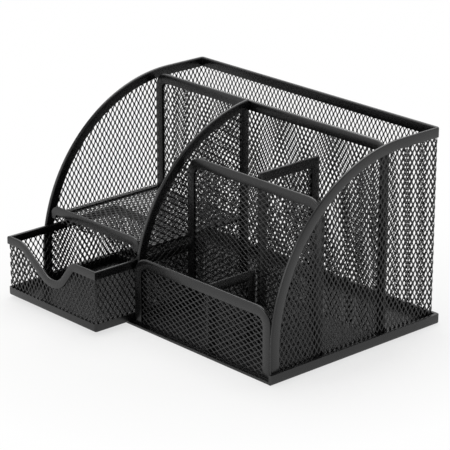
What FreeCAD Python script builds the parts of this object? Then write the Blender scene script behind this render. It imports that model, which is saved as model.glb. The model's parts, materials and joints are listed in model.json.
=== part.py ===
import FreeCAD, Part
import math
import os

# Desk organizer of expanded steel mesh with one drawer.
# The frame: x runs from left to right, y from front to back, z up, in millimetres.
# The origin lies under the middle of the side panels' front line, on the standing plane.

# The case, measured over the outer faces of its panels
case_width = 220.0
case_depth = 142.0
case_height = 130.0
front_rise = 20.0            # straight part of a side panel's front edge, below its quarter round

# Sheet, mesh and folded rims
sheet = 0.8
mesh_thickness = 1.0
rim_sheet = 0.6
rim_flank = 6.4              # how far a rim's two sides reach down over the mesh
rim_lap = 2.0                # how far the mesh's openings run on under the rim
edge_gap = 0.2               # from the mesh's cut edge to the fold of its rim
seat_gap = 0.3               # between a wall's end and the panel that it meets
plain_border = 2.0           # closed strip along a mesh edge that has no rim

# Openings of the mesh, drawn coarser than the real ones
mesh_short_pitch = 24.5
mesh_long_pitch = 36.5
strand_width = 2.8
least_opening_share = 0.12   # a clipped opening smaller than this share of a whole one stays closed

# The base
flange_height = 6.4
flange_thickness = 2.4       # a hem: the sheet folded over, with a gap inside
front_ledge = 0.8            # depth of the shallow step in front of the front wall

# Inner walls: back faces, faces and tops
slot_divider_back = 99.7
slot_divider_drop = 1.9      # top of the slot divider below the case's top
slot_divider_corner = 10.0
bay_width = 93.1             # left bay, from the case's left face to the middle divider
cross_wall_back = 45.4
cross_wall_top = 103.9
cross_wall_corner = 13.0
left_cell_width = 62.4       # between the middle divider and the cell dividers
rear_cell_divider_top = 106.8
front_cell_divider_top = 45.0
front_wall_top = 46.1
front_wall_corner = 12.0

# The shelf over the drawer
shelf_top = 48.8
shelf_front = 5.6
shelf_rail_flank = 4.5
lip_height = 6.3             # top of the front lip above the shelf
lip_corner = 7.2

# The drawer, drawn out as far as it stands in the rest position
drawer_depth = 92.0
drawer_draw = 30.5
drawer_side_gap = 0.5
drawer_height = 40.3
drawer_flange_height = 5.4
drawer_rim_flank = 5.2

# The finger scoop in the drawer front: its depth, corners and roundings as shares of the front's width
scoop_depth_share = 0.196
scoop_left_share = 0.17
scoop_floor_left_share = 0.46
scoop_floor_right_share = 0.58
scoop_right_share = 0.735
shoulder_left_rounding_share = 0.17
floor_rounding_share = 0.135
shoulder_right_rounding_share = 0.1

# Sizes that follow
rim_width = mesh_thickness + 2 * rim_sheet
floor_top = 2 * sheet
sweep_radius = case_height - front_rise
wall_inset = rim_width + seat_gap
slot_divider_front = slot_divider_back - rim_width
cross_wall_front = cross_wall_back - rim_width
front_wall_back = front_ledge + rim_width
pen_side_left = bay_width + wall_inset
pen_side_right = case_width - wall_inset
pen_side_width = pen_side_right - pen_side_left
cell_divider_left = pen_side_left + left_cell_width
shift = FreeCAD.Vector(-case_width / 2, 0, 0)


def flat_point(place):
    """A point of an outline, drawn on the x-y plane."""
    return FreeCAD.Vector(place[0], place[1], 0)


def offset_corners(corners, inset):
    """Move an outline's corners to the right of its way by the inset."""
    ways = []
    for start, end in zip(corners, corners[1:]):
        length = math.hypot(end[0] - start[0], end[1] - start[1])
        ways.append(((end[0] - start[0]) / length, (end[1] - start[1]) / length))
    sides = [(way[1], -way[0]) for way in ways]
    moved = []
    for index, corner in enumerate(corners):
        before = sides[max(index - 1, 0)]
        after = sides[min(index, len(sides) - 1)]
        reach = inset / (1 + before[0] * after[0] + before[1] * after[1])
        moved.append((corner[0] + (before[0] + after[0]) * reach, corner[1] + (before[1] + after[1]) * reach))
    return moved, ways


def panel_face(corners, radii, inset, foot):
    """The face below an edge line whose inner corners are rounded, drawn inwards by the inset."""
    moved, ways = offset_corners(corners, inset)
    edges = []
    start = moved[0]
    for corner, radius, way_in, way_out in zip(moved[1:-1], radii, ways, ways[1:]):
        turn = way_in[0] * way_out[1] - way_in[1] * way_out[0]
        rounding = radius + inset if turn > 0 else max(radius - inset, 0)
        if rounding == 0:
            edges.append(Part.LineSegment(flat_point(start), flat_point(corner)).toShape())
            start = corner
            continue
        angle = math.acos(way_in[0] * way_out[0] + way_in[1] * way_out[1])
        reach = rounding * math.tan(angle / 2)
        rise = rounding / math.cos(angle / 2) - rounding
        inward = (way_out[0] - way_in[0], way_out[1] - way_in[1])
        length = math.hypot(inward[0], inward[1])
        arc_start = (corner[0] - way_in[0] * reach, corner[1] - way_in[1] * reach)
        arc_end = (corner[0] + way_out[0] * reach, corner[1] + way_out[1] * reach)
        arc_middle = (corner[0] + inward[0] / length * rise, corner[1] + inward[1] / length * rise)
        edges.append(Part.LineSegment(flat_point(start), flat_point(arc_start)).toShape())
        edges.append(Part.Arc(flat_point(arc_start), flat_point(arc_middle), flat_point(arc_end)).toShape())
        start = arc_end
    end = moved[-1]
    edges.append(Part.LineSegment(flat_point(start), flat_point(end)).toShape())
    loop = [end, (end[0], foot), (moved[0][0], foot), moved[0]]
    for first, second in zip(loop, loop[1:]):
        if math.hypot(second[0] - first[0], second[1] - first[1]) > 0:
            edges.append(Part.LineSegment(flat_point(first), flat_point(second)).toShape())
    return Part.Face(Part.Wire(edges))


def rectangle(left, bottom, right, top):
    """A flat rectangle between two corners."""
    corners = [(left, bottom), (right, bottom), (right, top), (left, top), (left, bottom)]
    return Part.Face(Part.makePolygon([flat_point(corner) for corner in corners]))


def diamond(centre_x, centre_y, half_x, half_y):
    """One opening of the mesh."""
    corners = [
        (centre_x - half_x, centre_y),
        (centre_x, centre_y - half_y),
        (centre_x + half_x, centre_y),
        (centre_x, centre_y + half_y),
        (centre_x - half_x, centre_y),
    ]
    return Part.Face(Part.makePolygon([flat_point(corner) for corner in corners]))


def openings(region, long_way):
    """The diamond openings of a mesh inside a region, long way up or long way across."""
    pitch_x = mesh_short_pitch
    pitch_y = mesh_long_pitch
    if long_way == "across":
        pitch_x, pitch_y = pitch_y, pitch_x
    slope = math.hypot(pitch_x, pitch_y)
    half_x = pitch_x / 2 - strand_width / 2 * slope / pitch_y
    half_y = pitch_y / 2 - strand_width / 2 * slope / pitch_x
    least_area = 2 * half_x * half_y * least_opening_share
    box = region.BoundBox
    columns = math.ceil(box.XLength / pitch_x) + 1
    rows = math.ceil(box.YLength / pitch_y) + 1
    found = []
    for column in range(-columns, columns + 1):
        for row in range(-rows, rows + 1):
            if (column + row) % 2:
                continue
            centre_x = box.Center.x + column * pitch_x / 2
            centre_y = box.Center.y + row * pitch_y / 2
            if abs(centre_x - box.Center.x) > (box.XLength + pitch_x) / 2:
                continue
            if abs(centre_y - box.Center.y) > (box.YLength + pitch_y) / 2:
                continue
            clipped = diamond(centre_x, centre_y, half_x, half_y).common(region)
            found.extend(face for face in clipped.Faces if face.Area > least_area)
    return found


class Panel:
    """A mesh wall with a folded rim along its edge line, drawn flat and then set in place."""

    def __init__(self, corners, radii, foot, long_way, flank=rim_flank, ends=None):
        self.corners = corners
        self.radii = radii
        self.foot = foot
        self.long_way = long_way
        self.flank = flank
        self.ends = ends

    def outline(self, inset):
        """The panel's face, drawn in from its rimmed edges and cut upright at its ends."""
        face = panel_face(self.corners, self.radii, inset, self.foot)
        if self.ends is None:
            return face
        box = face.BoundBox
        start, stop = self.ends
        return face.common(rectangle(start + inset, box.YMin, stop - inset, box.YMax)).Faces[0]

    def mesh(self):
        """The mesh plate, from just inside the rim's fold down to the panel's foot."""
        plate = self.outline(rim_sheet + edge_gap)
        open_zone = self.outline(self.flank - rim_lap)
        box = plate.BoundBox
        border = plain_border
        inner = rectangle(box.XMin + border, box.YMin + border, box.XMax - border, box.YMax - border)
        holes = openings(open_zone.common(inner).Faces[0], self.long_way)
        holed = plate.cut(Part.makeCompound(holes)) if holes else plate
        solid = holed.Faces[0].extrude(FreeCAD.Vector(0, 0, mesh_thickness))
        solid.translate(FreeCAD.Vector(0, 0, -mesh_thickness / 2))
        return solid

    def rim(self):
        """The folded channel: two flanks joined by the fold along the panel's edge."""
        band = self.outline(0).cut(self.outline(self.flank))
        channel = band.Faces[0].extrude(FreeCAD.Vector(0, 0, rim_width))
        channel.translate(FreeCAD.Vector(0, 0, -rim_width / 2))
        slot = self.outline(rim_sheet).extrude(FreeCAD.Vector(0, 0, mesh_thickness))
        slot.translate(FreeCAD.Vector(0, 0, -mesh_thickness / 2))
        return channel.cut(slot)


def across(shape, left, middle_y, bottom):
    """Stand a flat drawing up, facing the front, with its own x along the case's x."""
    stood = shape.copy()
    stood.rotate(FreeCAD.Vector(0, 0, 0), FreeCAD.Vector(1, 0, 0), 90)
    stood.translate(FreeCAD.Vector(left, middle_y, bottom))
    return stood


def lengthwise(shape, middle_x, front, bottom):
    """Stand a flat drawing up, facing the side, with its own x along the case's y."""
    stood = across(shape, 0, 0, 0)
    stood.rotate(FreeCAD.Vector(0, 0, 0), FreeCAD.Vector(0, 0, 1), 90)
    stood.translate(FreeCAD.Vector(middle_x, front, bottom))
    return stood


def box_between(low, high):
    """A box from its lowest to its highest corner."""
    size = [top - bottom for bottom, top in zip(low, high)]
    return Part.makeBox(size[0], size[1], size[2], FreeCAD.Vector(low[0], low[1], low[2]))


def wall_line(width, top):
    """The rimmed edge line of a wall: up its left end, across its top and down its right end."""
    return [(0, 0), (0, top), (width, top), (width, 0)]


def base_tray():
    """One pressed sheet: flanges at three sides, a low front lip and a floor one sheet up."""
    left = -flange_thickness
    right = case_width + flange_thickness
    front = -flange_thickness
    rear = case_depth + flange_thickness
    blank = box_between((left, front, 0), (right, rear, flange_height))
    well = box_between((0, 0, sheet), (case_width, case_depth, flange_height))
    doorway = box_between((0, front, floor_top), (case_width, 0, flange_height))
    edge = rim_width + seat_gap
    floor = box_between((edge, front_ledge, 0), (case_width - edge, case_depth - edge, floor_top))
    riser = edge + sheet
    hollow = box_between((riser, front_ledge + sheet, 0), (case_width - riser, case_depth - riser, sheet))
    return blank.cut(well).cut(doorway).fuse(floor).cut(hollow).removeSplitter()


def side_panel():
    """The side profile: straight front foot, quarter round and level top."""
    line = [(0, 0), (0, case_height - sheet), (case_depth, case_height - sheet)]
    return Panel(line, [sweep_radius], 0, "up")


def side_pieces(nodes):
    """Both side panels, which stand inside the base's flanges."""
    panel = side_panel()
    for side, middle_x in (("left", rim_width / 2), ("right", case_width - rim_width / 2)):
        nodes[side + "_side_mesh"] = lengthwise(panel.mesh(), middle_x, 0, sheet)
        nodes[side + "_side_rim"] = lengthwise(panel.rim(), middle_x, 0, sheet)


def rear_wall_pieces(nodes):
    """The rear wall, between the side panels."""
    width = case_width - 2 * rim_width
    top = case_height - sheet
    panel = Panel([(0, top), (width, top)], [], 0, "up")
    middle_y = case_depth - rim_width / 2
    nodes["rear_wall_mesh"] = across(panel.mesh(), rim_width, middle_y, sheet)
    nodes["rear_wall_rim"] = across(panel.rim(), rim_width, middle_y, sheet)


def wall_pieces(nodes, name, left, width, back, top, corner, long_way):
    """A wall across the case, with round upper corners, on the base's floor."""
    panel = Panel(wall_line(width, top - floor_top), [corner, corner], 0, long_way)
    middle_y = back - rim_width / 2
    nodes[name + "_mesh"] = across(panel.mesh(), left, middle_y, floor_top)
    nodes[name + "_rim"] = across(panel.rim(), left, middle_y, floor_top)


def cell_divider_pieces(nodes, name, front, rear, top):
    """A short wall from front to back between two walls across the case."""
    length = rear - front - 2 * seat_gap
    panel = Panel(wall_line(length, top - floor_top), [0, 0], 0, "up")
    middle_x = cell_divider_left + rim_width / 2
    nodes[name + "_mesh"] = lengthwise(panel.mesh(), middle_x, front + seat_gap, floor_top)
    nodes[name + "_rim"] = lengthwise(panel.rim(), middle_x, front + seat_gap, floor_top)


def middle_divider_pieces(nodes):
    """The wall beside the drawer bay: the side profile, cut upright behind the front wall and at the slot."""
    top = case_height - floor_top
    line = [(0, 0), (0, top), (case_depth, top)]
    ends = (front_wall_back + seat_gap, slot_divider_front - seat_gap)
    panel = Panel(line, [sweep_radius], 0, "across", ends=ends)
    middle_x = bay_width + rim_width / 2
    nodes["middle_divider_mesh"] = lengthwise(panel.mesh(), middle_x, 0, floor_top)
    nodes["middle_divider_rim"] = lengthwise(panel.rim(), middle_x, 0, floor_top)


def shelf_rail(length):
    """A flat-lying channel that opens towards the shelf's mesh on its right."""
    channel = box_between((0, 0, 0), (shelf_rail_flank, length, rim_width))
    slot = box_between((rim_sheet, 0, rim_sheet), (shelf_rail_flank, length, rim_width - rim_sheet))
    return channel.cut(slot)


def shelf_pieces(nodes):
    """The tray over the drawer: a level mesh between two rails, and its upturned front lip."""
    left = wall_inset
    right = bay_width - seat_gap
    front = shelf_front + rim_width + seat_gap
    rear = slot_divider_front - seat_gap
    bottom = shelf_top - rim_width
    length = rear - front
    rail = shelf_rail(length)
    rail.translate(FreeCAD.Vector(left, front, bottom))
    nodes["shelf_left_rail"] = rail
    middle = FreeCAD.Vector((left + right) / 2, (front + rear) / 2, bottom)
    twin = rail.copy()
    twin.rotate(middle, FreeCAD.Vector(0, 0, 1), 180)
    nodes["shelf_right_rail"] = twin
    reach = rim_sheet + edge_gap
    plate = rectangle(left + reach, front, right - reach, rear)
    zone_inset = shelf_rail_flank - rim_lap
    zone = rectangle(left + zone_inset, front + plain_border, right - zone_inset, rear - plain_border)
    holed = plate.cut(Part.makeCompound(openings(zone, "across")))
    mesh = holed.Faces[0].extrude(FreeCAD.Vector(0, 0, mesh_thickness))
    mesh.translate(FreeCAD.Vector(0, 0, bottom + rim_sheet))
    nodes["shelf_mesh"] = mesh
    lip = Panel(wall_line(right - left, lip_height + rim_width), [lip_corner, lip_corner], 0, "across")
    middle_y = shelf_front + rim_width / 2
    nodes["shelf_lip_mesh"] = across(lip.mesh(), left, middle_y, bottom)
    nodes["shelf_lip_rim"] = across(lip.rim(), left, middle_y, bottom)


def drawer_pieces(nodes):
    """The drawer: a flanged floor, four mesh walls, the scooped front rim and the bent back rim."""
    left = rim_width + drawer_side_gap
    right = bay_width - drawer_side_gap
    front = -drawer_draw
    rear = front + drawer_depth
    bottom = floor_top + seat_gap
    top = bottom + drawer_height
    blank = box_between((left, front, bottom), (right, rear, bottom + drawer_flange_height))
    well_low = (left + sheet, front + sheet, bottom + sheet)
    well_high = (right - sheet, rear - sheet, bottom + drawer_flange_height)
    nodes["drawer_tray"] = blank.cut(box_between(well_low, well_high))

    foot = bottom + sheet
    height = top - foot
    mesh_inset = sheet + mesh_thickness
    front_width = right - left - 2 * sheet
    scoop = [
        (0, height),
        (front_width * scoop_left_share, height),
        (front_width * scoop_floor_left_share, height - front_width * scoop_depth_share),
        (front_width * scoop_floor_right_share, height - front_width * scoop_depth_share),
        (front_width * scoop_right_share, height),
        (front_width, height),
    ]
    rounding_shares = [shoulder_left_rounding_share, floor_rounding_share, floor_rounding_share,
                       shoulder_right_rounding_share]
    scoop_radii = [front_width * share for share in rounding_shares]
    front_panel = Panel(scoop, scoop_radii, 0, "up", flank=drawer_rim_flank)
    front_middle = front + sheet + mesh_thickness / 2
    nodes["drawer_front_mesh"] = across(front_panel.mesh(), left + sheet, front_middle, foot)
    nodes["drawer_front_rim"] = across(front_panel.rim(), left + sheet, front_middle, foot)

    rear_panel = Panel([(0, height), (front_width, height)], [], 0, "up", flank=drawer_rim_flank)
    rear_middle = rear - sheet - mesh_thickness / 2
    nodes["drawer_rear_mesh"] = across(rear_panel.mesh(), left + sheet, rear_middle, foot)

    side_start = front_middle + rim_width / 2
    side_length = rear - mesh_inset - side_start
    side_wall = Panel([(0, height), (side_length, height)], [], 0, "up", flank=drawer_rim_flank)
    left_middle = left + sheet + mesh_thickness / 2
    right_middle = right - sheet - mesh_thickness / 2
    nodes["drawer_left_mesh"] = lengthwise(side_wall.mesh(), left_middle, side_start, foot)
    nodes["drawer_right_mesh"] = lengthwise(side_wall.mesh(), right_middle, side_start, foot)

    rim_bottom = top - drawer_rim_flank
    outer_left = left_middle - rim_width / 2
    outer_right = right_middle + rim_width / 2
    outer_rear = rear_middle + rim_width / 2
    block = box_between((outer_left, side_start, rim_bottom), (outer_right, outer_rear, top))
    well = box_between(
        (outer_left + rim_width, side_start, rim_bottom),
        (outer_right - rim_width, outer_rear - rim_width, top),
    )
    slot = box_between(
        (outer_left + rim_sheet, side_start, rim_bottom),
        (outer_right - rim_sheet, outer_rear - rim_sheet, top - rim_sheet),
    )
    core_inset = rim_sheet + mesh_thickness
    core = box_between(
        (outer_left + core_inset, side_start, rim_bottom),
        (outer_right - core_inset, outer_rear - core_inset, top),
    )
    nodes["drawer_back_rim"] = block.cut(well).cut(slot.cut(core))


def build():
    """Make every piece, by the name of its node."""
    nodes = {"base_tray": base_tray()}
    side_pieces(nodes)
    rear_wall_pieces(nodes)
    inner_width = case_width - 2 * wall_inset
    slot_top = case_height - slot_divider_drop
    wall_pieces(nodes, "slot_divider", wall_inset, inner_width, slot_divider_back, slot_top,
                slot_divider_corner, "up")
    middle_divider_pieces(nodes)
    wall_pieces(nodes, "cross_wall", pen_side_left, pen_side_width, cross_wall_back, cross_wall_top,
                cross_wall_corner, "across")
    wall_pieces(nodes, "front_wall", bay_width, pen_side_right - bay_width, front_wall_back,
                front_wall_top, front_wall_corner, "across")
    cell_divider_pieces(nodes, "rear_cell_divider", cross_wall_back, slot_divider_front,
                        rear_cell_divider_top)
    cell_divider_pieces(nodes, "front_cell_divider", front_wall_back, cross_wall_front,
                        front_cell_divider_top)
    shelf_pieces(nodes)
    drawer_pieces(nodes)
    return nodes


os.makedirs("parts", exist_ok=True)
for name, shape in build().items():
    shape.translate(shift)
    shape.exportStep("parts/" + name + ".step")
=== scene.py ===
import json
import math

import bmesh
import bpy
from bpy.props import FloatProperty, FloatVectorProperty, IntProperty, PointerProperty
from mathutils import Matrix, Vector

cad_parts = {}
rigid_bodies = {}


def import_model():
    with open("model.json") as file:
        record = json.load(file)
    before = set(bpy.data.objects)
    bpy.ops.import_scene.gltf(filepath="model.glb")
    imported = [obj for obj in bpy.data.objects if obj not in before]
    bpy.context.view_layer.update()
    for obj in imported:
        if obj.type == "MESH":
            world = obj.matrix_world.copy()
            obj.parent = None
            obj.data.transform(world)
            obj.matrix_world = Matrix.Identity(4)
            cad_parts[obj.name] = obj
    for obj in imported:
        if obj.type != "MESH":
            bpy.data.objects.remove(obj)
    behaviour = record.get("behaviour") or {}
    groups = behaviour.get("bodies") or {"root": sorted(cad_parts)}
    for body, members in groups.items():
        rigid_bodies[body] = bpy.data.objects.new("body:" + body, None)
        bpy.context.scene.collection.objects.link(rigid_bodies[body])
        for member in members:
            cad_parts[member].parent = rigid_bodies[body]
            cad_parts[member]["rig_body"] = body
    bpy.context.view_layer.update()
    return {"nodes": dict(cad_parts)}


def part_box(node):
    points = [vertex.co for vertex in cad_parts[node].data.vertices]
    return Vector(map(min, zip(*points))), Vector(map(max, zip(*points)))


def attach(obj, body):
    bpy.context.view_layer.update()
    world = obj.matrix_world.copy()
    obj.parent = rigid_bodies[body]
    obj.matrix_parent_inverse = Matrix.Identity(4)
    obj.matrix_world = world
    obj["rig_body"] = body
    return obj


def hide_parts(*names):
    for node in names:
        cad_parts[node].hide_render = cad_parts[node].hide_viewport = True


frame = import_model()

bl_info = {
    "name": "Mesh pen stand with drawer",
    "version": (1, 0, 0),
    "blender": (4, 5, 0),
    "location": "View3D > Sidebar > Pen stand",
    "description": "Makes the coated steel mesh, rims and trays of a desk organizer with a drawer",
    "category": "Object",
}

MILLIMETRE = 0.001
SAME_PLACE = 1e-7               # closer than this to a cut, a point lies on it
SAME_DEPTH = 1e-9               # depths this close are equal
SHARP_ANGLE = math.radians(35)  # a steeper edge between two faces shows as an edge
POINTS_PER_RADIAN = 12          # along a round, where only depths are measured
LEAST_FINENESS = 0.25           # share of the steps that the smallest rounds get
FINE_RADIUS = 0.1               # metres of radius that add as many steps as a whole share
REAR_BEND_STEPS = 8
STEEP_LEAN = 1.4                # of the sheets whose strands were flattened least
LEFT_CELL_SHARE = 0.18          # of a pitch, by which the drawer's left mesh starts farther back
RIM_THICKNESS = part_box("rear_wall_rim")[1].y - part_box("rear_wall_rim")[0].y
FLANGE_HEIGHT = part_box("base_tray")[1].z
DRAWER_FLANGE_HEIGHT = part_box("drawer_tray")[1].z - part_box("drawer_tray")[0].z


def length(name, description, size):
    """A length that a user can change, in metres, with its default in millimetres."""
    return FloatProperty(name=name, description=description, default=size * MILLIMETRE,
                         min=0.0, precision=5, unit="LENGTH", subtype="DISTANCE")


def millimetres(across, up):
    """A place in a flat drawing, given in millimetres."""
    return across * MILLIMETRE, up * MILLIMETRE


def share(name, description, default):
    """A share of a width, from nothing to all of it."""
    return FloatProperty(name=name, description=description, default=default, min=0.0, max=1.0,
                         subtype="FACTOR")


def sheen(name, description, default):
    """A plain number from 0 to 1."""
    return FloatProperty(name=name, description=description, default=default, min=0.0, max=1.0)


def linear(code):
    """Turn an sRGB hex colour into linear red, green and blue."""
    parts = [int(code[place:place + 2], 16) / 255 for place in (1, 3, 5)]
    return [part / 12.92 if part <= 0.04045 else ((part + 0.055) / 1.055) ** 2.4 for part in parts]


def colour(name, description, code):
    """A colour that a user can change, with its default as an sRGB hex code."""
    return FloatVectorProperty(name=name, description=description, default=linear(code), min=0.0, max=1.0,
                               size=3, subtype="COLOR")


class PenStandMeshSizes(bpy.types.PropertyGroup):
    """Sizes of the expanded steel mesh."""

    short_pitch: length("Short pitch", "One opening to the next, the short way", 3.9)
    long_pitch: length("Long pitch", "One opening to the next, the long way", 6.15)
    rear_pitch: length("Rear wall's short pitch", "The short pitch where the sheet was stretched less", 3.61)
    left_pitch: length("Left panel's short pitch", "The short pitch of the left side panel", 3.75)
    slot_pitch: length("Slot divider's short pitch", "The short pitch of the slot divider", 3.7)
    drawer_pitch: length("Drawer front's short pitch", "The short pitch of the drawer front", 3.78)
    drawer_left_pitch: length("Drawer left wall's short pitch", "The short pitch of the drawer's left wall", 4.05)
    strand_width: length("Strand width", "Width of a strand in the sheet", 0.58)
    strand_thickness: length("Strand thickness", "Thickness of the sheet that was slit and stretched", 0.4)
    strand_lean: length("Strand lean", "How far a strand's two edges stand out of the sheet", 0.2)
    end_cut: length("Opening's end", "How far an opening's rounded ends reach along its sides", 0.75)
    top_cut: length("Drawer's top row", "From the drawer's top edge down to the mesh's first row of knots", 0.9)
    corner_bend: length("Corner bend", "Radius at which mesh and rim bend round the rear corners", 1.3)
    lip_hang: length("Lip's hang", "How far the lip's cut mesh hangs below the shelf", 2.2)


class PenStandRimSizes(bpy.types.PropertyGroup):
    """Sizes of the folded rims and of the walls' edge lines."""

    flank: length("Flank", "How far a rim reaches down over the mesh", 6.4)
    drawer_flank: length("Drawer flank", "How far the drawer's rim reaches down over its mesh", 5.2)
    lip_flank: length("Shelf lip flank", "How far the shelf lip's rim reaches down over its mesh", 5.5)
    rail_flank: length("Rail flank", "Width of the rails that carry the shelf", 4.5)
    sheet: length("Rim sheet", "Thickness of the sheet that the rims are folded from", 0.6)
    fold: length("Fold radius", "Outer radius of a rim's fold", 0.9)
    lip_edge: length("Edge radius", "Rounding of a rim's two free edges under the coat", 0.2)
    sweep: length("Quarter round", "Radius of the side profile's round", 110.0)
    slot_corner: length("Slot divider corner", "Radius of the slot divider's upper corners", 10.0)
    cross_corner: length("Cross wall corner", "Radius of the cross wall's upper corners", 13.0)
    front_corner: length("Front wall corner", "Radius of the front wall's upper corners", 12.0)
    lip_corner: length("Shelf lip corner", "Radius of the shelf lip's upper corners", 7.2)
    steps: IntProperty(name="Steps", description="Steps of a quarter round", default=36, min=8, max=90)


class PenStandDrawerSizes(bpy.types.PropertyGroup):
    """The finger scoop in the drawer front, as shares of the front's width."""

    depth: share("Depth", "Depth of the scoop", 0.196)
    left: share("Left shoulder", "Where the scoop starts at the left", 0.17)
    floor_left: share("Floor's left end", "Where the scoop's floor starts", 0.46)
    floor_right: share("Floor's right end", "Where the scoop's floor ends", 0.58)
    right: share("Right shoulder", "Where the scoop ends at the right", 0.735)
    left_round: share("Left shoulder's round", "Radius of the left shoulder", 0.17)
    floor_round: share("Floor's round", "Radius at both ends of the scoop's floor", 0.135)
    right_round: share("Right shoulder's round", "Radius of the right shoulder", 0.1)


class PenStandTraySizes(bpy.types.PropertyGroup):
    """Sizes of the pressed base tray and of the drawer's tray."""

    sheet: length("Sheet", "Thickness of the pressed sheet", 0.8)
    hem: length("Hem", "Thickness of the base's folded flange", 2.4)
    bend: length("Bend radius", "Outer radius where a flange turns up from the floor", 1.1)
    top_round: length("Top rounding", "Rounding of a flange's top edge", 0.35)
    corner: length("Corner radius", "Radius of the trays' upright corners", 1.8)
    ledge: length("Ledge", "Depth of the groove in front of the front wall", 0.8)


class PenStandLooks(bpy.types.PropertyGroup):
    """Colours and finish of the coat, and the stage."""

    coat: colour("Coat", "Colour of the black coat", "#080809")
    coat_light: colour("Thin coat", "Colour where the coat lies thinner", "#0e0e0f")
    # The mesh's coat is the rims' black painted a little lighter: a painted sheen that brightens the strands.
    mesh_coat_with_painted_sheen: colour("Mesh coat", "Colour of the coat on the mesh", "#0a0a0b")
    roughness: sheen("Roughness", "Roughness of the coat", 0.27)
    peel: length("Orange peel", "Depth of the orange peel on rims and trays", 0.05)
    mesh_peel: length("Mesh's orange peel", "Depth of the orange peel on the mesh", 0.02)
    floor: colour("Floor", "Colour of the floor", "#f4f4f3")


def settings():
    """The sizes of the mesh, the rims and the trays, and the looks."""
    scene = bpy.context.scene
    return scene.pen_stand_mesh, scene.pen_stand_rim, scene.pen_stand_tray, scene.pen_stand_looks


# Flat drawings and where they are set up

def facing_front(left, middle_y, bottom):
    """A drawing stood up to face the front: its x to the right, its y up, its z to the front."""
    return Matrix(((1, 0, 0, left), (0, 0, -1, middle_y), (0, 1, 0, bottom), (0, 0, 0, 1)))


def facing_right(middle_x, front, bottom):
    """A drawing stood up to face the right: its x to the back, its y up, its z to the right."""
    return Matrix(((0, 0, 1, middle_x), (1, 0, 0, front), (0, 1, 0, bottom), (0, 0, 0, 1)))


def edge_line(corners, radii):
    """An edge line as its start, its first way, and legs of run, rounding and right turn."""
    points = [Vector(corner) for corner in corners]
    ways = [end - start for start, end in zip(points, points[1:])]
    legs = []
    used = 0
    for way, after, radius in zip(ways, ways[1:], radii):
        turn = math.atan2(way.y * after.x - way.x * after.y, way.dot(after))
        reach = radius * math.tan(abs(turn) / 2)
        legs.append((way.length - used - reach, radius, turn))
        used = reach
    legs.append((ways[-1].length - used, 0, 0))
    return points[0], ways[0].normalized(), legs


def turned(way, turn):
    """A flat way after a right turn."""
    return Vector((way.x * math.cos(turn) + way.y * math.sin(turn),
                   way.y * math.cos(turn) - way.x * math.sin(turn)))


def edge_points(edge):
    """Points along an edge line, close enough together to measure depth from."""
    place, way, legs = edge
    points = [place]
    for run, radius, turn in legs:
        place = place + way * run
        points.append(place)
        if radius:
            steps = max(2, round(abs(turn) * POINTS_PER_RADIAN))
            to_centre = Vector((way.y, -way.x)) * math.copysign(radius, turn)
            centre = place + to_centre
            for step in range(1, steps + 1):
                points.append(centre - turned(to_centre, turn * step / steps))
            place = points[-1]
        way = turned(way, turn)
    return points


def depth_inside(point, points):
    """How far a point lies to the right of an edge line, negative where it is outside."""
    found = math.inf
    for start, end in zip(points, points[1:]):
        along = end - start
        if along.length_squared == 0:
            continue
        part = min(max((point - start).dot(along) / along.length_squared, 0), 1)
        away = point - (start + along * part)
        signed = math.copysign(away.length, along.y * away.x - along.x * away.y)
        if abs(abs(signed) - abs(found)) < SAME_DEPTH:
            found = min(found, signed)
        elif abs(signed) < abs(found):
            found = signed
    return found


# Folded sheet: a section is extruded along runs, spun round bends and mitred at square corners

def new_section(outline, rounding, place, way):
    """Start a bar with its section, square to its way; the outline gives depth inwards and height."""
    bar = bmesh.new()
    inward = Vector((way.y, -way.x, 0))
    corners = [bar.verts.new(place.to_3d() + inward * depth + Vector((0, 0, height)))
               for depth, height in outline]
    bar.faces.new(corners)
    for radius, indices, segments in rounding:
        bmesh.ops.bevel(bar, geom=[corners[index] for index in indices], offset=radius, offset_type="OFFSET",
                        segments=segments, profile=0.5, affect="VERTICES", material=-1)
    bar.faces.ensure_lookup_table()
    return bar, bar.faces[0]


def drawn_on(bar, face, move):
    """Draw a section on in a straight line."""
    made = bmesh.ops.extrude_face_region(bar, geom=[face, *face.edges, *face.verts])["geom"]
    bmesh.ops.translate(bar, vec=move, verts=[item for item in made if isinstance(item, bmesh.types.BMVert)])
    return next(item for item in made if isinstance(item, bmesh.types.BMFace))


def bent_on(bar, face, centre, axis, turn, steps):
    """Bend a section on round a centre."""
    section = [face, *face.edges, *face.verts]
    made = bmesh.ops.spin(bar, geom=section, cent=centre, axis=axis, dvec=(0, 0, 0), angle=turn, steps=steps,
                          use_merge=False, use_normal_flip=False, use_duplicate=False)["geom_last"]
    return next(item for item in made if isinstance(item, bmesh.types.BMFace))


def trimmed(bar, point, normal):
    """Cut a closed bar at a plane, keep what lies behind it, and close the cut."""
    bmesh.ops.bisect_plane(bar, geom=bar.verts[:] + bar.edges[:] + bar.faces[:], dist=SAME_PLACE,
                           plane_co=point, plane_no=normal, clear_outer=True)
    bmesh.ops.holes_fill(bar, edges=[edge for edge in bar.edges if edge.is_boundary], sides=0)


def joined(whole, part):
    """Add one bmesh to another."""
    bmesh.ops.recalc_face_normals(part, faces=part.faces[:])
    carrier = bpy.data.meshes.new("carrier")
    part.to_mesh(carrier)
    part.free()
    whole.from_mesh(carrier)
    bpy.data.meshes.remove(carrier)


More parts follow.
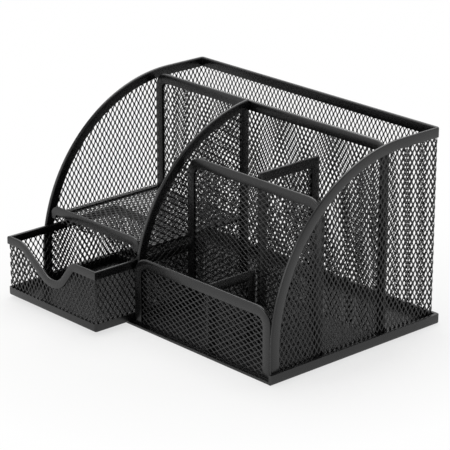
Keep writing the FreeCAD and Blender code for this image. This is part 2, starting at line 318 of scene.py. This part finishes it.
def swept(edge, outline, rounding, rear_bend=None):
    """Sweep a section along an edge line. A rear bend turns its end round an upright corner."""
    place, way, legs = edge
    steps = settings()[1].steps
    whole = bmesh.new()
    cuts = []
    bar, face = new_section(outline, rounding, place, way)
    for run, radius, turn in legs:
        place = place + way * run
        if run > 0:
            face = drawn_on(bar, face, (way * run).to_3d())
        after = turned(way, turn)
        if radius:
            centre = place + Vector((way.y, -way.x)) * math.copysign(radius, turn)
            share_of_quarter = abs(turn) / (math.pi / 2)
            fineness = min(1, LEAST_FINENESS + radius / FINE_RADIUS)
            count = max(3, math.ceil(steps * share_of_quarter * fineness))
            face = bent_on(bar, face, centre.to_3d(), (0, 0, -1), turn, count)
            place = centre - turned(centre - place, turn)
        elif turn:
            middle = (way + after).normalized().to_3d()
            cuts.append((place.to_3d(), middle))
            for point, normal in cuts:
                trimmed(bar, point, normal)
            joined(whole, bar)
            cuts = [(place.to_3d(), -middle)]
            bar, face = new_section(outline, rounding, place, after)
        way = after
    if rear_bend:
        centre = Vector((place.x, place.y, rear_bend))
        bent_on(bar, face, centre, (0, 1, 0), math.copysign(math.pi / 2, -rear_bend), REAR_BEND_STEPS)
    for point, normal in cuts:
        trimmed(bar, point, normal)
    joined(whole, bar)
    return whole


def rim_section(flank):
    """Outline of a rim: two flanks, the fold, and the slot that the mesh sits in."""
    sizes = settings()[1]
    half = RIM_THICKNESS / 2
    inner = half - sizes.sheet
    outline = [(flank, half), (0, half), (0, -half), (flank, -half),
               (flank, -inner), (sizes.sheet, -inner), (sizes.sheet, inner), (flank, inner)]
    return outline, [(sizes.fold, (1, 2), 4), (sizes.lip_edge, (0, 3), 2)]


# Expanded mesh

def expanded_mesh(edge, width, height, long_way, phase, cover, stops, short_pitch=None, lean=1):
    """Slit and stretched sheet: strands that lean one way or, below 0, the other, round blunt-ended openings.

    A knot of the strands lies at the phase, a strip as deep as the cover stays free along the edge line, and
    the stops cut the sheet off at planes.
    """
    sizes = settings()[0]
    pitch = Vector((short_pitch or sizes.short_pitch, sizes.long_pitch))
    short = Vector((1, 0, 0))
    if long_way == "ACROSS":
        pitch = pitch.yx
        short = Vector((0, 1, 0))
    reach = math.ceil(width / pitch.x + height / pitch.y) + 4
    cells = reach + reach % 2
    sheet = bmesh.new()
    bmesh.ops.create_grid(sheet, x_segments=cells, y_segments=cells, size=cells / 2)
    bmesh.ops.rotate(sheet, cent=(0, 0, 0), matrix=Matrix.Rotation(math.pi / 4, 3, "Z"), verts=sheet.verts)
    bmesh.ops.scale(sheet, vec=(pitch.x / math.sqrt(2), pitch.y / math.sqrt(2), 1), verts=sheet.verts)
    start = Vector((phase[0] + round((width / 2 - phase[0]) / pitch.x) * pitch.x,
                    phase[1] + round((height / 2 - phase[1]) / pitch.y) * pitch.y, 0))
    bmesh.ops.translate(sheet, vec=start, verts=sheet.verts)

    points = edge_points(edge)
    unwanted = []
    for face in sheet.faces:
        centre = face.calc_center_median().xy
        beyond = max(-centre.x, centre.x - width) > pitch.x or max(-centre.y, centre.y - height) > pitch.y
        if beyond or depth_inside(centre, points) < cover:
            unwanted.append(face)
    bmesh.ops.delete(sheet, geom=unwanted, context="FACES")

    bmesh.ops.bevel(sheet, geom=sheet.verts[:], offset=sizes.end_cut, offset_type="OFFSET", segments=1,
                    profile=0.5, affect="VERTICES", material=-1)
    openings = [face for face in sheet.faces if len(face.verts) > 5]
    bmesh.ops.inset_individual(sheet, faces=openings, thickness=sizes.strand_width / 2, use_even_offset=True)
    for face in openings:
        centre = face.calc_center_median()
        for corner in face.verts:
            corner.co.z += lean * sizes.strand_lean * (corner.co - centre).dot(short) / (sizes.short_pitch / 2)
    bmesh.ops.delete(sheet, geom=openings, context="FACES_ONLY")
    for point, normal in stops:
        bmesh.ops.bisect_plane(sheet, geom=sheet.verts[:] + sheet.edges[:] + sheet.faces[:], dist=SAME_PLACE,
                               plane_co=point, plane_no=normal, clear_outer=True)
    return sheet


def foot_stop(hang=0):
    """Cut a mesh off at its foot, or as far below it as it hangs."""
    return (0, -hang, 0), (0, -1, 0)


def end_stop(place):
    """Cut a mesh off at its far end."""
    return (place, 0, 0), (1, 0, 0)


def start_stop(place):
    """Cut a mesh off at its near end."""
    return (place, 0, 0), (-1, 0, 0)


# Finished pieces

def put_down(flat, name, node, place, looks, round_edges=False):
    """Set a bmesh in place as the piece that stands for a CAD node."""
    flat.transform(place)
    mesh = bpy.data.meshes.new(name)
    flat.to_mesh(mesh)
    flat.free()
    mesh.shade_smooth()
    if not round_edges:
        mesh.set_sharp_from_angle(angle=SHARP_ANGLE)
    mesh.materials.append(bpy.data.materials[looks])
    piece = bpy.data.objects.new(name, mesh)
    bpy.context.scene.collection.objects.link(piece)
    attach(piece, frame["nodes"][node]["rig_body"])
    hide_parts(node)
    return piece


def put_down_mesh(sheet, node, place):
    """Set a mesh sheet in place and give its strands their thickness."""
    # The strands take the lighter copy of the coat, with its painted sheen.
    piece = put_down(sheet, node + "_strands", node, place, "powder_coat_on_mesh_with_painted_sheen",
                     round_edges=True)
    thickness = piece.modifiers.new("Strand thickness", "SOLIDIFY")
    thickness.thickness = settings()[0].strand_thickness
    thickness.offset = 0


def put_down_rim(bars, node, place):
    """Set a folded rim in place."""
    put_down(bars, node + "_folded", node, place, "powder_coat_on_rims")


def rounded_wall(name, corner, long_way, phase, short_pitch=None, lean=1, flank=None, hang=0):
    """A wall that faces the front: a folded rim up, over and down, and its mesh, which may hang below it."""
    flank = flank or settings()[1].flank
    low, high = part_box(name + "_rim")
    width = high.x - low.x
    height = high.z - low.z
    edge = edge_line([(0, 0), (0, height), (width, height), (width, 0)], [corner, corner])
    place = facing_front(low.x, (low.y + high.y) / 2, low.z)
    put_down_rim(swept(edge, *rim_section(flank)), name + "_rim", place)
    if hang:
        edge = edge_line([(0, -hang), (0, height), (width, height), (width, -hang)], [corner, corner])
    sheet = expanded_mesh(edge, width, height, long_way, phase, flank / 2, [foot_stop(hang)], short_pitch, lean)
    put_down_mesh(sheet, name + "_mesh", place)


# Materials

def add_node(material, kind, choices, inputs):
    """Add one node with its choices, and give each input, by name or number, a value or what feeds it."""
    tree = material.node_tree
    made = tree.nodes.new(kind)
    for name, value in choices.items():
        setattr(made, name, value)
    for name, value in inputs.items():
        if isinstance(value, bpy.types.NodeSocket):
            tree.links.new(value, made.inputs[name])
        else:
            made.inputs[name].default_value = value
    return made


def emptied(owner):
    """Clear the nodes of a material or a world, and return it."""
    owner.use_nodes = True
    owner.node_tree.nodes.clear()
    return owner


def speckle(material, across, detail, roughness):
    """Noise whose spots are about so many millimetres across."""
    place = add_node(material, "ShaderNodeTexCoord", {}, {}).outputs["Object"]
    return add_node(material, "ShaderNodeTexNoise", {}, {
        "Vector": place, "Scale": 1 / (across * MILLIMETRE), "Detail": detail, "Roughness": roughness})


def powder_coated_steel(name, thick, thin, roughness, peel_depth):
    """Black powder coat, sprayed dry and baked on steel sheet."""
    # The baked coat is a satin plastic skin: dim soft highlights over a faint orange peel about a millimetre
    # across, a fine grain under it, and a slightly greyer tone where the coat lies thinner.
    material = emptied(bpy.data.materials.new(name))
    peel = speckle(material, 1.1, 2.0, 0.45)
    grain = speckle(material, 0.25, 1.0, 0.5)
    cloud = speckle(material, 14, 3.0, 0.6)
    tone = add_node(material, "ShaderNodeMix", {"data_type": "RGBA"}, {
        "Factor": cloud.outputs["Fac"], "A": (*thick, 1), "B": (*thin, 1)})
    gloss = add_node(material, "ShaderNodeMapRange", {}, {
        "Value": peel.outputs["Fac"], "From Min": 0.3, "From Max": 0.7,
        "To Min": roughness - 0.05, "To Max": roughness + 0.06})
    peel_bump = add_node(material, "ShaderNodeBump", {}, {
        "Height": peel.outputs["Fac"], "Strength": 0.35, "Distance": peel_depth})
    grain_bump = add_node(material, "ShaderNodeBump", {}, {
        "Height": grain.outputs["Fac"], "Strength": 0.2, "Distance": 0.01 * MILLIMETRE,
        "Normal": peel_bump.outputs["Normal"]})
    shader = add_node(material, "ShaderNodeBsdfPrincipled", {}, {
        "Base Color": tone.outputs["Result"], "Roughness": gloss.outputs["Result"], "Metallic": 0.0,
        "IOR": 1.5, "Normal": grain_bump.outputs["Normal"]})
    add_node(material, "ShaderNodeOutputMaterial", {}, {"Surface": shader.outputs["BSDF"]})


class PenStandMaterials(bpy.types.Operator):
    """Make the coat for the mesh, the rims and the trays"""

    bl_idname = "pen_stand.materials"
    bl_label = "Coats"

    def execute(self, context):
        looks = settings()[3]
        # The mesh gets its own lighter copy of the coat, a painted sheen on the strands.
        powder_coated_steel("powder_coat_on_mesh_with_painted_sheen", looks.mesh_coat_with_painted_sheen, looks.coat_light, looks.roughness,
                            looks.mesh_peel)
        for name in ("powder_coat_on_rims", "powder_coat_on_trays"):
            powder_coated_steel(name, looks.coat, looks.coat_light, looks.roughness, looks.peel)
        return {"FINISHED"}


def rear_pitch():
    """The short pitch of the rear mesh, fitted so that whole cells go between the rear corners."""
    low, high = rear_mesh_ends()
    return (high - low) / round((high - low) / settings()[0].rear_pitch)


def rear_mesh_ends():
    """Where the rear wall's flat mesh starts and ends, between the two rounded corners."""
    bend = settings()[0].corner_bend
    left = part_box("left_side_mesh")
    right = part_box("right_side_mesh")
    return (left[0].x + left[1].x) / 2 + bend, (right[0].x + right[1].x) / 2 - bend


def bent_round(sheet, start, radius, side):
    """Bend the end of a flat sheet round an upright corner; side is 1 where it turns towards its front."""
    for corner in sheet.verts:
        turn = (corner.co.x - start) / radius
        if turn > 0:
            out = radius - side * corner.co.z
            corner.co.x = start + out * math.sin(turn)
            corner.co.z = side * (radius - out * math.cos(turn))


class PenStandSides(bpy.types.Operator):
    """Make both side panels: quarter-round rims and mesh that bends round the rear corners"""

    bl_idname = "pen_stand.sides"
    bl_label = "Side panels"

    def execute(self, context):
        meshes, rims = settings()[:2]
        bend = meshes.corner_bend
        rear = (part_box("rear_wall_mesh")[0].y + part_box("rear_wall_mesh")[1].y) / 2
        for side, inward, pitch in (("left", 1, meshes.left_pitch), ("right", -1, meshes.short_pitch)):
            low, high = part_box(side + "_side_rim")
            height = high.z - low.z
            straight = rear - bend - low.y
            edge = edge_line([(0, 0), (0, height), (straight, height)], [rims.sweep])
            place = facing_right((low.x + high.x) / 2, low.y, low.z)
            rim = swept(edge, *rim_section(rims.flank), rear_bend=inward * bend)
            put_down_rim(rim, side + "_side_rim", place)
            full = straight + bend * math.pi / 2
            edge = edge_line([(0, 0), (0, height), (full, height)], [rims.sweep])
            sheet = expanded_mesh(edge, full, height, "UP", (full, 0), rims.flank / 2,
                                  [foot_stop(), end_stop(full)], pitch, -1)
            bent_round(sheet, straight, bend, inward)
            put_down_mesh(sheet, side + "_side_mesh", place)
        return {"FINISHED"}


class PenStandRearWall(bpy.types.Operator):
    """Make the rear wall: mesh and its level rim"""

    bl_idname = "pen_stand.rear_wall"
    bl_label = "Rear wall"

    def execute(self, context):
        rims = settings()[1]
        low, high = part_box("rear_wall_rim")
        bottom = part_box("rear_wall_mesh")[0].z
        left, right = rear_mesh_ends()
        width = right - left
        height = high.z - bottom
        edge = edge_line([(0, height), (width, height)], [])
        place = facing_front(left, (low.y + high.y) / 2, bottom)
        put_down_rim(swept(edge, *rim_section(rims.flank)), "rear_wall_rim", place)
        sheet = expanded_mesh(edge, width, height, "UP", (0, 0), rims.flank / 2,
                              [foot_stop(), start_stop(0), end_stop(width)], rear_pitch(), -1)
        put_down_mesh(sheet, "rear_wall_mesh", place)
        return {"FINISHED"}


class PenStandRoundedWalls(bpy.types.Operator):
    """Make the walls across the case with round upper corners: slot divider, cross wall and front wall"""

    bl_idname = "pen_stand.rounded_walls"
    bl_label = "Slot divider, cross wall and front wall"

    def execute(self, context):
        meshes, rims = settings()[:2]
        rounded_wall("slot_divider", rims.slot_corner, "UP", millimetres(1, 2), meshes.slot_pitch, -1)
        rounded_wall("cross_wall", rims.cross_corner, "ACROSS", millimetres(2, 1))
        rounded_wall("front_wall", rims.front_corner, "ACROSS", millimetres(0, 1.5))
        return {"FINISHED"}


class PenStandMiddleDivider(bpy.types.Operator):
    """Make the middle divider: the side profile above an upright foot, with a rim down its rear edge too"""

    bl_idname = "pen_stand.middle_divider"
    bl_label = "Middle divider"

    def execute(self, context):
        rims = settings()[1]
        low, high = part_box("middle_divider_rim")
        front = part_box("left_side_rim")[0].y
        centre_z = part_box("left_side_rim")[1].z - rims.sweep
        first = math.acos(1 - (low.y - front) / rims.sweep)
        last = math.acos(1 - (high.y - front) / rims.sweep)
        foot_height = centre_z + rims.sweep * math.sin(first) - low.z
        rear_height = centre_z + rims.sweep * math.sin(last) - low.z
        edge = (Vector((0, 0)), Vector((0, 1)), [(foot_height, 0, first), (0, rims.sweep, last - first),
                                                 (0, 0, math.pi - last), (rear_height, 0, 0)])
        place = facing_right((low.x + high.x) / 2, low.y, low.z)
        put_down_rim(swept(edge, *rim_section(rims.flank)), "middle_divider_rim", place)
        sheet = expanded_mesh(edge, high.y - low.y, rear_height, "ACROSS", millimetres(1, 0), rims.flank / 2,
                              [foot_stop()], lean=STEEP_LEAN)
        put_down_mesh(sheet, "middle_divider_mesh", place)
        return {"FINISHED"}


class PenStandCellDividers(bpy.types.Operator):
    """Make the two short dividers between the pen cells, with square mitred corners"""

    bl_idname = "pen_stand.cell_dividers"
    bl_label = "Cell dividers"

    def execute(self, context):
        rims = settings()[1]
        for name in ("rear_cell_divider", "front_cell_divider"):
            low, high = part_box(name + "_rim")
            width = high.y - low.y
            height = high.z - low.z
            edge = edge_line([(0, 0), (0, height), (width, height), (width, 0)], [0, 0])
            place = facing_right((low.x + high.x) / 2, low.y, low.z)
            put_down_rim(swept(edge, *rim_section(rims.flank)), name + "_rim", place)
            sheet = expanded_mesh(edge, width, height, "UP", millimetres(1, 1), rims.flank / 2,
                                  [foot_stop()])
            put_down_mesh(sheet, name + "_mesh", place)
        return {"FINISHED"}


class PenStandShelf(bpy.types.Operator):
    """Make the tray over the drawer: two rails, a level mesh and the upturned front lip"""

    bl_idname = "pen_stand.shelf"
    bl_label = "Shelf"

    def execute(self, context):
        meshes, rims = settings()[:2]
        rounded_wall("shelf_lip", rims.lip_corner, "ACROSS", millimetres(2, 1), flank=rims.lip_flank,
                     hang=meshes.lip_hang)
        left_low, left_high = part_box("shelf_left_rail")
        right_low, right_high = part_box("shelf_right_rail")
        run = left_high.y - left_low.y
        middle_z = (left_low.z + left_high.z) / 2
        section = rim_section(rims.rail_flank)
        ways = (("shelf_left_rail", (0, 0), (0, run), left_low), ("shelf_right_rail", (0, run), (0, 0), right_low))
        for node, start, end, low in ways:
            rail_left = low.x if node == "shelf_left_rail" else right_high.x
            rail = swept(edge_line([start, end], []), *section)
            put_down_rim(rail, node, Matrix.Translation((rail_left, low.y, middle_z)))
        width = right_high.x - left_low.x
        edge = edge_line([(0, 0), (0, run)], [])
        cover = rims.rail_flank / 3
        sheet = expanded_mesh(edge, width, run, "ACROSS", millimetres(1, 1), cover,
                              [foot_stop(), ((0, run, 0), (0, 1, 0)), end_stop(width - cover)], lean=-STEEP_LEAN)
        put_down_mesh(sheet, "shelf_mesh", Matrix.Translation((left_low.x, left_low.y, middle_z)))
        return {"FINISHED"}


def levelled(box, corner):
    """The plan of a tray as an edge line: clockwise from the front left corner, with round corners."""
    low, high = box
    return edge_line([(low.x, low.y), (low.x, high.y), (high.x, high.y), (high.x, low.y)], [corner, corner])


class PenStandBaseTray(bpy.types.Operator):
    """Make the base: hemmed flanges at three sides, a low front lip and a raised floor"""

    bl_idname = "pen_stand.base_tray"
    bl_label = "Base tray"

    def execute(self, context):
        trays = settings()[2]
        low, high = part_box("base_tray")
        hem = trays.hem
        flange = [(0, 0), (hem, 0), (hem, FLANGE_HEIGHT), (0, FLANGE_HEIGHT)]
        rounding = [(trays.bend, (0,), 4), (trays.top_round, (2, 3), 3)]
        tray = swept(levelled((low, high), trays.corner), flange, rounding)
        lip_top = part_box("front_wall_rim")[0].z
        lip = [(0, 0), (hem, 0), (hem, lip_top), (0, lip_top)]
        front = edge_line([(high.x - hem, low.y), (low.x + hem, low.y)], [])
        joined(tray, swept(front, lip, [(trays.top_round, (3,), 3), (trays.top_round / 2, (0, 2), 2)]))

        floor = bmesh.new()
        bmesh.ops.create_grid(floor, x_segments=1, y_segments=1, size=0.5)
        width = high.x - low.x - hem
        depth = high.y - low.y - hem
        bmesh.ops.scale(floor, vec=(width, depth, 1), verts=floor.verts)
        bmesh.ops.translate(floor, vec=((low.x + high.x) / 2, (low.y + high.y) / 2, 0), verts=floor.verts)
        panel = floor.faces[:]
        border = RIM_THICKNESS + 2 * trays.ledge
        bmesh.ops.inset_individual(floor, faces=panel, thickness=border)
        inner = panel[0]
        middle_y = inner.calc_center_median().y
        front_corners = [corner for corner in inner.verts if corner.co.y < middle_y]
        to_ledge = low.y + hem + trays.ledge - front_corners[0].co.y
        bmesh.ops.translate(floor, vec=(0, to_ledge, 0), verts=front_corners)
        bmesh.ops.inset_individual(floor, faces=[inner], thickness=trays.sheet / 2)
        bmesh.ops.translate(floor, vec=(0, 0, trays.sheet), verts=inner.verts[:])
        bmesh.ops.recalc_face_normals(floor, faces=floor.faces[:])
        if floor.faces[0].normal.z < 0:
            bmesh.ops.reverse_faces(floor, faces=floor.faces[:])
        bmesh.ops.solidify(floor, geom=floor.faces[:], thickness=-trays.sheet)
        joined(tray, floor)
        put_down(tray, "base_tray_pressed", "base_tray", Matrix.Identity(4), "powder_coat_on_trays")
        return {"FINISHED"}


class PenStandDrawerTray(bpy.types.Operator):
    """Make the drawer's tray: one dished sheet with round corners and bends"""

    bl_idname = "pen_stand.drawer_tray"
    bl_label = "Drawer tray"

    def execute(self, context):
        trays = settings()[2]
        low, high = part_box("drawer_tray")
        dish = bmesh.new()
        bmesh.ops.create_grid(dish, x_segments=1, y_segments=1, size=0.5)
        bmesh.ops.scale(dish, vec=(high.x - low.x, high.y - low.y, 1), verts=dish.verts)
        bmesh.ops.bevel(dish, geom=dish.verts[:], offset=trays.corner, offset_type="OFFSET", segments=4,
                        profile=0.5, affect="VERTICES", material=-1)
        outline = dish.edges[:]
        made = bmesh.ops.extrude_edge_only(dish, edges=outline)["geom"]
        bmesh.ops.translate(dish, vec=(0, 0, DRAWER_FLANGE_HEIGHT),
                            verts=[item for item in made if isinstance(item, bmesh.types.BMVert)])
        bmesh.ops.bevel(dish, geom=outline, offset=trays.bend, offset_type="OFFSET", segments=4, profile=0.5,
                        affect="EDGES", material=-1)
        bmesh.ops.recalc_face_normals(dish, faces=dish.faces[:])
        floor = min(dish.faces, key=lambda face: face.calc_center_median().z)
        if floor.normal.z > 0:
            bmesh.ops.reverse_faces(dish, faces=dish.faces[:])
        bmesh.ops.solidify(dish, geom=dish.faces[:], thickness=trays.sheet)
        middle = ((low.x + high.x) / 2, (low.y + high.y) / 2, low.z)
        put_down(dish, "drawer_tray_pressed", "drawer_tray", Matrix.Translation(middle),
                 "powder_coat_on_trays")
        return {"FINISHED"}


def drawer_corners():
    """The drawer's lowest and highest corner, from the foot of its mesh to the top of its rims."""
    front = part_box("drawer_front_rim")
    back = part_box("drawer_back_rim")
    low = Vector((back[0].x, front[0].y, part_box("drawer_front_mesh")[0].z))
    high = Vector((back[1].x, back[1].y, back[1].z))
    return low, high


class PenStandDrawerFront(bpy.types.Operator):
    """Make the drawer front: scooped rim and mesh"""

    bl_idname = "pen_stand.drawer_front"
    bl_label = "Drawer front"

    def execute(self, context):
        meshes, rims = settings()[:2]
        scoop = context.scene.pen_stand_drawer
        low, high = drawer_corners()
        mesh_low, mesh_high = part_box("drawer_front_mesh")
        width = mesh_high.x - mesh_low.x
        spare = mesh_low.x - low.x
        height = high.z - low.z
        dip = height - width * scoop.depth
        corners = [(0, height), (spare + width * scoop.left, height), (spare + width * scoop.floor_left, dip),
                   (spare + width * scoop.floor_right, dip), (spare + width * scoop.right, height),
                   (high.x - low.x, height)]
        radii = [width * part for part in (scoop.left_round, scoop.floor_round, scoop.floor_round,
                                           scoop.right_round)]
        edge = edge_line(corners, radii)
        place = facing_front(low.x, (mesh_low.y + mesh_high.y) / 2, low.z)
        rim = swept(edge, *rim_section(rims.drawer_flank))
        rim.transform(place)
        trimmed(rim, (low.x, low.y, 0), (-1, 1, 0))
        trimmed(rim, (high.x, low.y, 0), (1, 1, 0))
        put_down_rim(rim, "drawer_front_rim", Matrix.Identity(4))
        half = RIM_THICKNESS / 2
        sheet = expanded_mesh(edge, high.x - low.x, height, "UP", (half, height - meshes.top_cut),
                              rims.drawer_flank / 2,
                              [foot_stop(), start_stop(half), end_stop(high.x - low.x - half)],
                              meshes.drawer_pitch)
        put_down_mesh(sheet, "drawer_front_mesh", place)
        return {"FINISHED"}


class PenStandDrawerWalls(bpy.types.Operator):
    """Make the drawer's side and rear walls: three meshes under one rim of three mitred bars"""

    bl_idname = "pen_stand.drawer_walls"
    bl_label = "Drawer walls"

    def execute(self, context):
        meshes, rims = settings()[:2]
        low, high = drawer_corners()
        half = RIM_THICKNESS / 2
        left_pitch = meshes.drawer_left_pitch
        height = high.z - low.z
        depth = high.y - low.y
        width = high.x - low.x
        walls = (("drawer_left_mesh", depth, facing_right(low.x + half, low.y, low.z),
                  [((low.x, low.y, 0), (1, -1, 0)), ((low.x, high.y, 0), (1, 1, 0))],
                  half + LEFT_CELL_SHARE * left_pitch, left_pitch),
                 ("drawer_rear_mesh", width, facing_front(low.x, high.y - half, low.z),
                  [((low.x, high.y, 0), (-1, -1, 0)), ((high.x, high.y, 0), (1, -1, 0))],
                  half, meshes.short_pitch),
                 ("drawer_right_mesh", depth, facing_right(high.x - half, low.y, low.z),
                  [((high.x, low.y, 0), (-1, -1, 0)), ((high.x, high.y, 0), (-1, 1, 0))],
                  half, meshes.short_pitch))
        rim = bmesh.new()
        for node, run, place, mitres, phase, pitch in walls:
            edge = edge_line([(0, height), (run, height)], [])
            bar = swept(edge, *rim_section(rims.drawer_flank))
            bar.transform(place)
            for point, normal in mitres:
                trimmed(bar, point, normal)
            joined(rim, bar)
            sheet = expanded_mesh(edge, run, height, "UP", (phase, height - meshes.top_cut),
                                  rims.drawer_flank / 2, [foot_stop(), start_stop(half), end_stop(run - half)],
                                  pitch)
            put_down_mesh(sheet, node, place)
        put_down_rim(rim, "drawer_back_rim", Matrix.Identity(4))
        return {"FINISHED"}


# The stage

# Places in metres, sizes in metres and power in watts
SOFTBOXES = {
    "front_softbox": {"place": (-0.45, -1.5, 0.8), "target": (0, 0.05, 0.05), "size": (1.2, 1.0), "power": 7},
    "top_softbox": {"place": (-0.4, 0.45, 1.3), "target": (0, 0.07, 0.05), "size": (1.4, 1.4), "power": 20},
}
FLOOR_SIZE = 6.0                # from the middle to its edges
SHADOW_CENTRE = (0, 0.06, 0)    # round which the floor keeps the object's shadow

# The camera, as fitted to the photograph
CAMERA_TARGET = (-0.008, 0.070, 0.0519)
CAMERA_DISTANCE = 1.435
CAMERA_AZIMUTH = math.radians(47.73)
CAMERA_ELEVATION = math.radians(19.86)
CAMERA_LENS = 178.6             # in millimetres, on a sensor 36 wide
CAMERA_SENSOR = 36.0
CAMERA_SIGHT = 20               # how far it sees


def soft_lamp(name, place, target, size, power):
    """A softbox that points at a target."""
    lamp = bpy.data.lights.new(name, "AREA")
    lamp.shape = "RECTANGLE"
    lamp.size, lamp.size_y = size
    lamp.energy = power
    holder = bpy.data.objects.new(name, lamp)
    holder.location = place
    holder.rotation_euler = (Vector(target) - Vector(place)).to_track_quat("-Z", "Y").to_euler()
    bpy.context.scene.collection.objects.link(holder)


def seen_directly(owner):
    """1 for what the camera or a reflection sees, 0 for what lights the object."""
    path = add_node(owner, "ShaderNodeLightPath", {}, {})
    return add_node(owner, "ShaderNodeMath", {"operation": "MAXIMUM"}, {
        0: path.outputs["Is Camera Ray"], 1: path.outputs["Is Glossy Ray"]}).outputs[0]


def matte_board(colour_of_board):
    """Matte painted board: even and pale, with a glow that keeps it near white round the shadow."""
    board = emptied(bpy.data.materials.new("matte_white_board"))
    place = add_node(board, "ShaderNodeTexCoord", {}, {}).outputs["Object"]
    away = add_node(board, "ShaderNodeVectorMath", {"operation": "DISTANCE"}, {0: place, 1: SHADOW_CENTRE})
    even = add_node(board, "ShaderNodeMapRange", {}, {
        "Value": away.outputs["Value"], "From Min": 0.13, "From Max": 0.22, "To Min": 0.7, "To Max": 0.98})
    share_of_glow = add_node(board, "ShaderNodeMath", {"operation": "MULTIPLY"}, {
        0: seen_directly(board), 1: even.outputs["Result"]})
    matte = add_node(board, "ShaderNodeBsdfDiffuse", {}, {"Color": (*colour_of_board, 1)})
    glow = add_node(board, "ShaderNodeEmission", {}, {"Color": (1, 1, 1, 1), "Strength": 1.0})
    both = add_node(board, "ShaderNodeMixShader", {}, {
        0: share_of_glow.outputs[0], 1: matte.outputs["BSDF"], 2: glow.outputs["Emission"]})
    add_node(board, "ShaderNodeOutputMaterial", {}, {"Surface": both.outputs["Shader"]})
    return board


def soft_studio():
    """A white background that lights the object dimly; in reflections it darkens towards the top."""
    world = emptied(bpy.data.worlds.new("soft studio"))
    place = add_node(world, "ShaderNodeTexCoord", {}, {}).outputs["Generated"]
    way = add_node(world, "ShaderNodeSeparateXYZ", {}, {"Vector": place})
    backdrop = add_node(world, "ShaderNodeMapRange", {}, {
        "Value": way.outputs["Z"], "From Min": 0.5, "From Max": 0.9, "To Min": 1.0, "To Max": 0.2})
    level = add_node(world, "ShaderNodeMapRange", {}, {
        "Value": seen_directly(world), "To Min": 0.2, "To Max": backdrop.outputs["Result"]})
    sky = add_node(world, "ShaderNodeBackground", {}, {
        "Color": (1, 1, 1, 1), "Strength": level.outputs["Result"]})
    add_node(world, "ShaderNodeOutputWorld", {}, {"Surface": sky.outputs["Background"]})
    return world


def fitted_camera():
    """The camera that took the photograph."""
    lens = bpy.data.cameras.new("camera")
    lens.sensor_width = CAMERA_SENSOR
    lens.lens = CAMERA_LENS
    lens.clip_end = CAMERA_SIGHT
    camera = bpy.data.objects.new("camera", lens)
    level = math.cos(CAMERA_ELEVATION)
    back = Vector((math.sin(CAMERA_AZIMUTH) * level, -math.cos(CAMERA_AZIMUTH) * level,
                   math.sin(CAMERA_ELEVATION)))
    camera.location = Vector(CAMERA_TARGET) + back * CAMERA_DISTANCE
    camera.rotation_euler = (-back).to_track_quat("-Z", "Y").to_euler()
    return camera


class PenStandStage(bpy.types.Operator):
    """Make the pale floor, the soft light, the white background and the camera"""

    bl_idname = "pen_stand.stage"
    bl_label = "Stage"

    def execute(self, context):
        ground = bmesh.new()
        bmesh.ops.create_grid(ground, x_segments=1, y_segments=1, size=FLOOR_SIZE)
        mesh = bpy.data.meshes.new("floor")
        ground.to_mesh(mesh)
        ground.free()
        mesh.materials.append(matte_board(settings()[3].floor))
        floor = bpy.data.objects.new("floor", mesh)
        context.scene.collection.objects.link(floor)
        context.scene.world = soft_studio()
        for name, softbox in SOFTBOXES.items():
            soft_lamp(name, **softbox)
        camera = fitted_camera()
        context.scene.collection.objects.link(camera)
        context.scene.camera = camera
        context.scene.view_settings.view_transform = "Standard"
        return {"FINISHED"}


class PenStandPanel(bpy.types.Panel):
    """Lists the sizes, the colours and the steps of making"""

    bl_idname = "VIEW3D_PT_pen_stand"
    bl_label = "Pen stand"
    bl_space_type = "VIEW_3D"
    bl_region_type = "UI"
    bl_category = "Pen stand"

    def draw(self, context):
        groups = (context.scene.pen_stand_mesh, context.scene.pen_stand_rim, context.scene.pen_stand_tray,
                  context.scene.pen_stand_drawer, context.scene.pen_stand_looks)
        for group in groups:
            box = self.layout.box()
            for name in group.__annotations__:
                box.prop(group, name)
        for operator in OPERATORS:
            self.layout.operator(operator.bl_idname)


GROUPS = {
    "pen_stand_mesh": PenStandMeshSizes,
    "pen_stand_rim": PenStandRimSizes,
    "pen_stand_tray": PenStandTraySizes,
    "pen_stand_drawer": PenStandDrawerSizes,
    "pen_stand_looks": PenStandLooks,
}
OPERATORS = (
    PenStandMaterials,
    PenStandStage,
    PenStandBaseTray,
    PenStandSides,
    PenStandRearWall,
    PenStandRoundedWalls,
    PenStandMiddleDivider,
    PenStandCellDividers,
    PenStandShelf,
    PenStandDrawerTray,
    PenStandDrawerFront,
    PenStandDrawerWalls,
)


def register():
    for name, group in GROUPS.items():
        bpy.utils.register_class(group)
        setattr(bpy.types.Scene, name, PointerProperty(type=group))
    for operator in OPERATORS:
        bpy.utils.register_class(operator)
    bpy.utils.register_class(PenStandPanel)


def unregister():
    bpy.utils.unregister_class(PenStandPanel)
    for operator in reversed(OPERATORS):
        bpy.utils.unregister_class(operator)
    for name, group in GROUPS.items():
        delattr(bpy.types.Scene, name)
        bpy.utils.unregister_class(group)


def main():
    """Make everything in order."""
    register()
    for operator in OPERATORS:
        space, name = operator.bl_idname.split(".")
        getattr(getattr(bpy.ops, space), name)()


if __name__ == "__main__":
    main()
